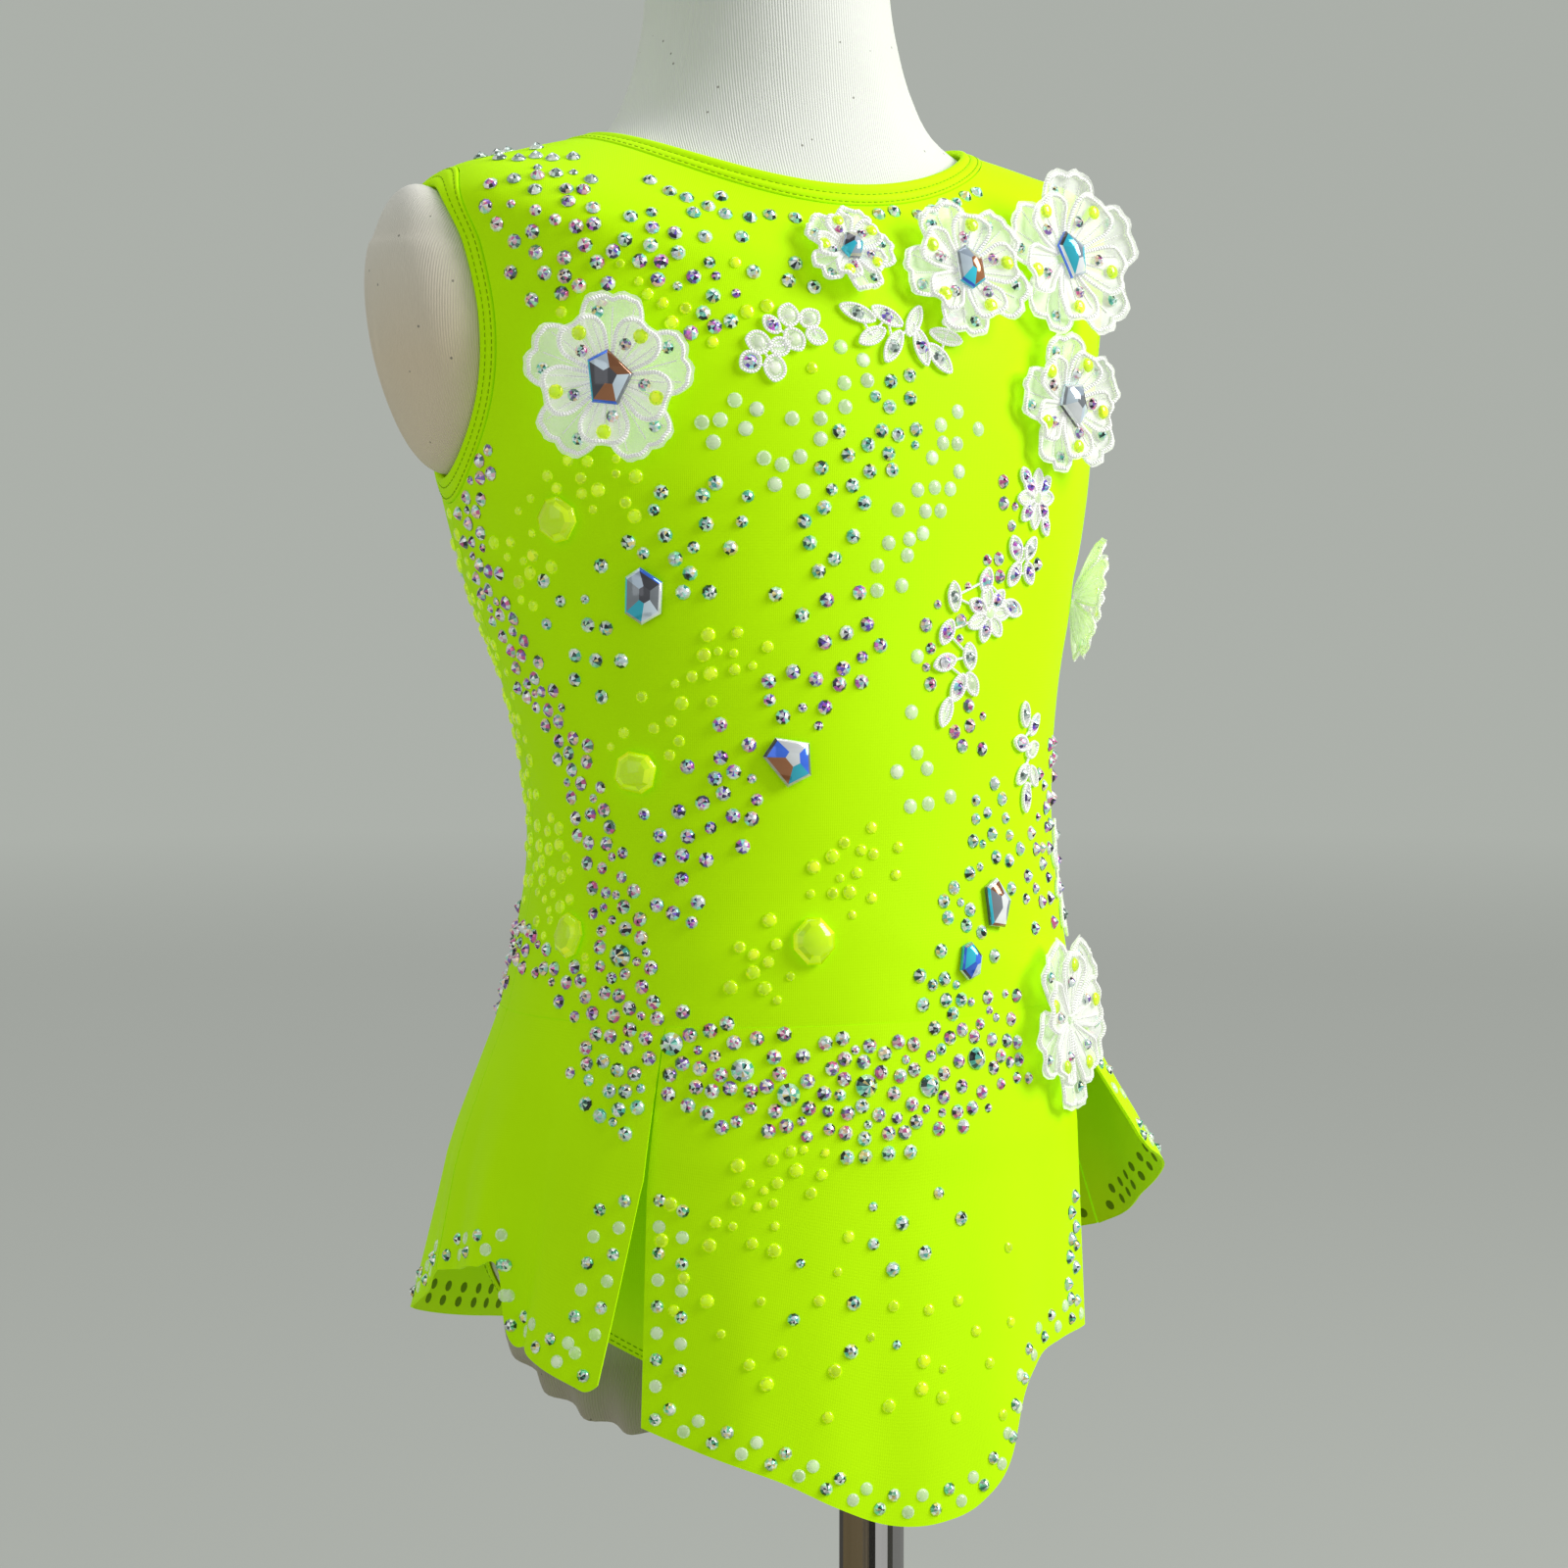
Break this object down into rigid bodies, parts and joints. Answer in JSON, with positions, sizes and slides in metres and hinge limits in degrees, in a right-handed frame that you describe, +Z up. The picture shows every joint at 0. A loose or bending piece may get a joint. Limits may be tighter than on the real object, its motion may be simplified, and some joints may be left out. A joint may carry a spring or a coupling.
{
  "type": "rhythmic gymnastics leotard on a limbless dress form with stand",
  "caption": "Child's sleeveless rhythmic gymnastics leotard in neon jersey with a petal skirt, sewn-on lace flowers and crystals, worn on a limbless dress form on a chrome stand.",
  "frame": {"origin": "centre of the base plate's underside, on the surface that the stand rests on", "axes": "+Z up; the wearer's front faces -Y and the wearer's left is +X"},
  "size_m": [0.356, 0.356, 0.7279],
  "materials": {
    "lime_jersey": "satin",
    "form_jersey": "matte",
    "white_lace": "satin",
    "iridescent_crystal": "polished",
    "neon_crystal": "polished",
    "chrome": "polished"
  },
  "bodies": {
    "root": {"armhole_binding_left": "lime_jersey", "armhole_binding_right": "lime_jersey", "base_plate": "chrome", "crotch_gusset": "lime_jersey", "crystal_belly": "iridescent_crystal", "crystal_flower_left_chest": "iridescent_crystal", "crystal_flower_left_shoulder": "iridescent_crystal", "crystal_flower_neck_left": "iridescent_crystal", "crystal_flower_neck_middle": "iridescent_crystal", "crystal_flower_right_chest": "iridescent_crystal", "crystal_left_hip": "iridescent_crystal", "crystal_left_waist": "iridescent_crystal", "crystal_ribs": "iridescent_crystal", "flower_left_chest": "white_lace", "flower_left_hip": "white_lace", "flower_left_shoulder": "white_lace", "flower_left_side": "white_lace", "flower_neck_left": "white_lace", "flower_neck_middle": "white_lace", "flower_right_chest": "white_lace", "form_body": "form_jersey", "lace_left_belly": "white_lace", "lace_left_breast": "white_lace", "lace_left_flank": "white_lace", "lace_left_rib": "white_lace", "lace_left_waist": "white_lace", "lace_neck_left": "white_lace", "lace_neck_right": "white_lace", "leotard_back": "lime_jersey", "leotard_front": "lime_jersey", "neck_binding": "lime_jersey", "neon_crystal_belly": "neon_crystal", "neon_crystal_chest": "neon_crystal", "neon_crystal_hip": "neon_crystal", "neon_crystal_waist": "neon_crystal", "pole": "chrome", "pole_flange": "chrome", "pole_hub": "chrome", "skirt_back": "lime_jersey", "skirt_front": "lime_jersey", "skirt_left": "lime_jersey", "skirt_right": "lime_jersey"}
  },
  "joints": []
}
